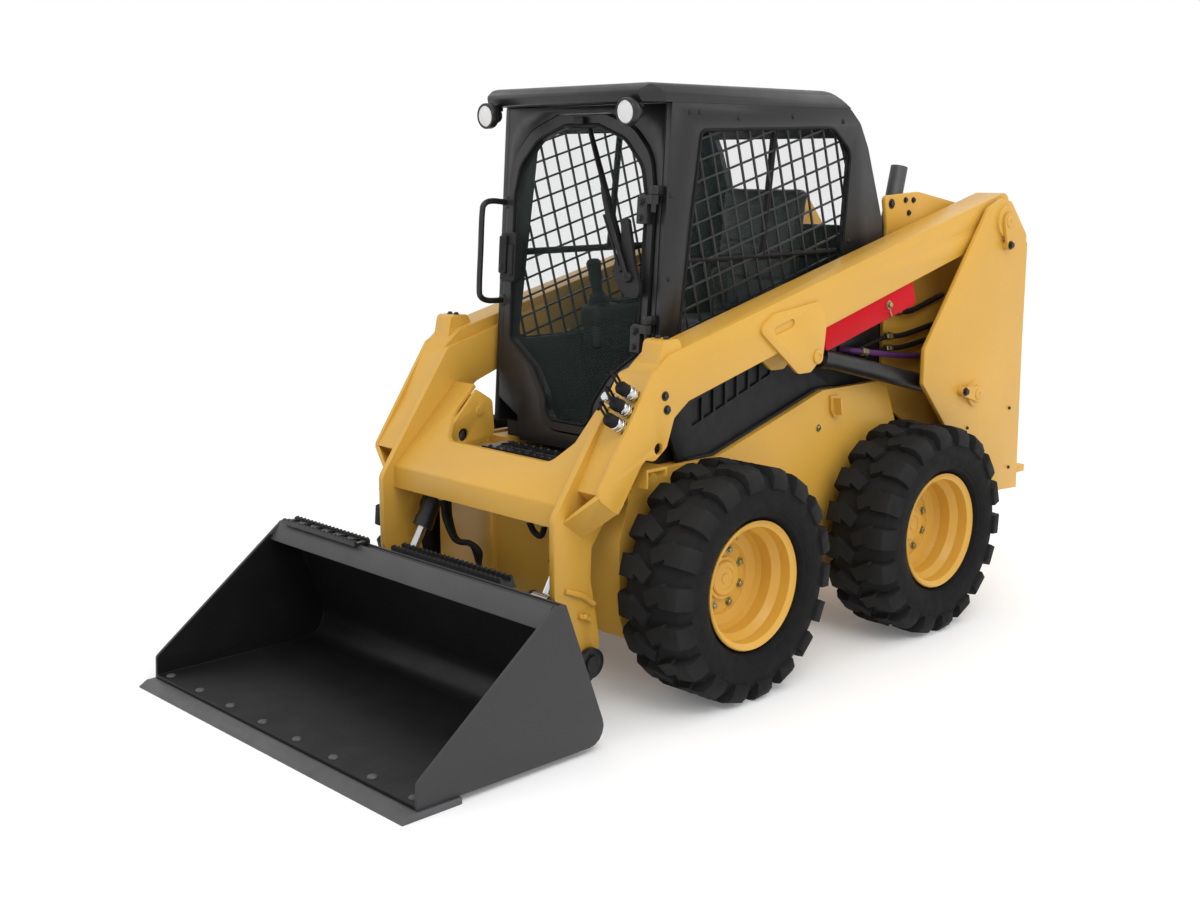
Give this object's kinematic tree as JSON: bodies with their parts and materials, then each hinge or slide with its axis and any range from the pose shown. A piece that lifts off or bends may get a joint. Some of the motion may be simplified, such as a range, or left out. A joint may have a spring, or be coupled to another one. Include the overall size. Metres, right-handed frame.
{
  "type": "skid steer loader",
  "caption": "Compact skid steer loader with an enclosed cab, radial lift arms worked by hydraulic cylinders, a tilting dirt bucket and lugged tyres.",
  "frame": {"origin": "on the ground, at the centre of the bounding box in plan", "axes": "front of the machine towards -Y, its left side towards +X, up towards +Z"},
  "size_m": [1.676, 3.443, 2.0724],
  "materials": {
    "yellow_paint": "satin yellow enamel",
    "black_paint": "satin black enamel",
    "black_plastic": "moulded black plastic",
    "edge_steel": "black painted wear steel",
    "engine_iron": "dark cast iron",
    "exhaust_steel": "dull heat-stained steel",
    "lens": "clear and red lamp lenses",
    "tinted_glass": "green tinted safety glass",
    "seat_cover": "dark vinyl",
    "red_paint": "satin red enamel",
    "chrome": "bright hard chrome",
    "tyre_rubber": "black rubber"
  },
  "bodies": {
    "chassis": {"chassis_tub": "yellow_paint", "towers": "yellow_paint", "axle_housings": "black_paint", "engine_block": "engine_iron", "side_cowls": "black_plastic", "engine_deck": "black_paint", "exhaust_stack": "exhaust_steel", "rear_bumper": "black_paint", "hinge_pins": "black_paint", "lamps": "lens", "entry_step": "black_paint", "cab_sides": "black_paint", "cab_roof": "black_plastic", "cab_front_frame": "black_paint", "cab_rear_panel": "black_paint", "cab_floor": "black_plastic", "window_guards": "black_paint", "rear_glass": "tinted_glass", "seat": "seat_cover", "control_consoles": "black_plastic", "grab_rail": "black_paint"},
    "hood": {"hood_grille": "black_paint"},
    "rear_door": {"rear_door": "yellow_paint"},
    "cab_door": {"door_frame": "black_paint", "door_glass": "tinted_glass", "door_fittings": "black_plastic"},
    "arms": {"lift_arms": "yellow_paint", "arm_crossmember": "yellow_paint", "aux_couplers": "chrome", "arm_brace": "red_paint"},
    "bucket": {"coupler_plate": "black_paint", "coupler_pins": "black_paint", "bucket_shell": "black_paint", "cutting_edge": "edge_steel", "bucket_steps": "black_paint"},
    "lift_barrel_left": {"lift_barrel_left": "black_paint"},
    "lift_rod_left": {"lift_rod_left": "chrome"},
    "tilt_barrel_left": {"tilt_barrel_left": "black_paint"},
    "tilt_rod_left": {"tilt_rod_left": "chrome"},
    "lift_barrel_right": {"lift_barrel_right": "black_paint"},
    "lift_rod_right": {"lift_rod_right": "chrome"},
    "tilt_barrel_right": {"tilt_barrel_right": "black_paint"},
    "tilt_rod_right": {"tilt_rod_right": "chrome"},
    "wheel_front_left": {"tyre_front_left": "tyre_rubber", "rim_front_left": "yellow_paint"},
    "wheel_front_right": {"tyre_front_right": "tyre_rubber", "rim_front_right": "yellow_paint"},
    "wheel_rear_left": {"tyre_rear_left": "tyre_rubber", "rim_rear_left": "yellow_paint"},
    "wheel_rear_right": {"tyre_rear_right": "tyre_rubber", "rim_rear_right": "yellow_paint"}
  },
  "joints": [
    {"name": "lift", "type": "hinge", "parent": "chassis", "child": "arms", "pos_m": [0, 1.4575, 1.572], "axis": [-1, 0, 0], "range_deg": [0, 67]},
    {"name": "bucket_tilt", "type": "hinge", "parent": "arms", "child": "bucket", "pos_m": [0, -0.7405, 0.172], "axis": [1, 0, 0], "range_deg": [-25, 107]},
    {"name": "cab_door", "type": "hinge", "parent": "chassis", "child": "cab_door", "pos_m": [0.4, -0.38252, 1.23126], "axis": [0, 0.0698, 0.9976], "range_deg": [0, 80]},
    {"name": "rear_door", "type": "hinge", "parent": "chassis", "child": "rear_door", "pos_m": [-0.427, 1.6865, 1], "axis": [0, 0, 1], "range_deg": [0, 100]},
    {"name": "hood", "type": "hinge", "parent": "chassis", "child": "hood", "pos_m": [0, 1.0815, 1.462], "axis": [1, 0, 0], "range_deg": [0, 60]},
    {"name": "lift_barrel_left", "type": "hinge", "parent": "chassis", "child": "lift_barrel_left", "pos_m": [0, 1.2845, 0.88], "axis": [-1, 0, 0], "range_deg": [0, 52.78]},
    {"name": "lift_rod_left", "type": "slide", "parent": "lift_barrel_left", "child": "lift_rod_left", "axis": [0, -0.9712, 0.2383], "range_m": [0, 0.71235]},
    {"name": "tilt_barrel_left", "type": "hinge", "parent": "arms", "child": "tilt_barrel_left", "pos_m": [0, -0.5335, 0.9], "axis": [1, 0, 0], "range_deg": [-1.69, 7.23]},
    {"name": "tilt_rod_left", "type": "slide", "parent": "tilt_barrel_left", "child": "tilt_rod_left", "axis": [0, -0.4988, -0.8667], "range_m": [-0.07988, 0.34187]},
    {"name": "lift_barrel_right", "type": "hinge", "parent": "chassis", "child": "lift_barrel_right", "pos_m": [0, 1.2845, 0.88], "axis": [-1, 0, 0], "range_deg": [0, 52.78]},
    {"name": "lift_rod_right", "type": "slide", "parent": "lift_barrel_right", "child": "lift_rod_right", "axis": [0, -0.9712, 0.2383], "range_m": [0, 0.71235]},
    {"name": "tilt_barrel_right", "type": "hinge", "parent": "arms", "child": "tilt_barrel_right", "pos_m": [0, -0.5335, 0.9], "axis": [1, 0, 0], "range_deg": [-1.69, 7.23]},
    {"name": "tilt_rod_right", "type": "slide", "parent": "tilt_barrel_right", "child": "tilt_rod_right", "axis": [0, -0.4988, -0.8667], "range_m": [-0.07988, 0.34187]},
    {"name": "wheel_front_left", "type": "hinge", "parent": "chassis", "child": "wheel_front_left", "pos_m": [0, -0.271, 0.408], "axis": [1, 0, 0], "continuous": true},
    {"name": "wheel_front_right", "type": "hinge", "parent": "chassis", "child": "wheel_front_right", "pos_m": [0, -0.271, 0.408], "axis": [1, 0, 0], "continuous": true},
    {"name": "wheel_rear_left", "type": "hinge", "parent": "chassis", "child": "wheel_rear_left", "pos_m": [0, 0.834, 0.408], "axis": [1, 0, 0], "continuous": true},
    {"name": "wheel_rear_right", "type": "hinge", "parent": "chassis", "child": "wheel_rear_right", "pos_m": [0, 0.834, 0.408], "axis": [1, 0, 0], "continuous": true}
  ],
  "couplings": [
    {"joint": "lift_barrel_left", "follows": "lift", "ratio": 0.78777},
    {"joint": "lift_rod_left", "follows": "lift", "m_per_rad": 0.60917},
    {"joint": "tilt_barrel_left", "follows": "bucket_tilt", "ratio": 0.0676},
    {"joint": "tilt_rod_left", "follows": "bucket_tilt", "m_per_rad": 0.18307},
    {"joint": "lift_barrel_right", "follows": "lift", "ratio": 0.78777},
    {"joint": "lift_rod_right", "follows": "lift", "m_per_rad": 0.60917},
    {"joint": "tilt_barrel_right", "follows": "bucket_tilt", "ratio": 0.0676},
    {"joint": "tilt_rod_right", "follows": "bucket_tilt", "m_per_rad": 0.18307}
  ]
}
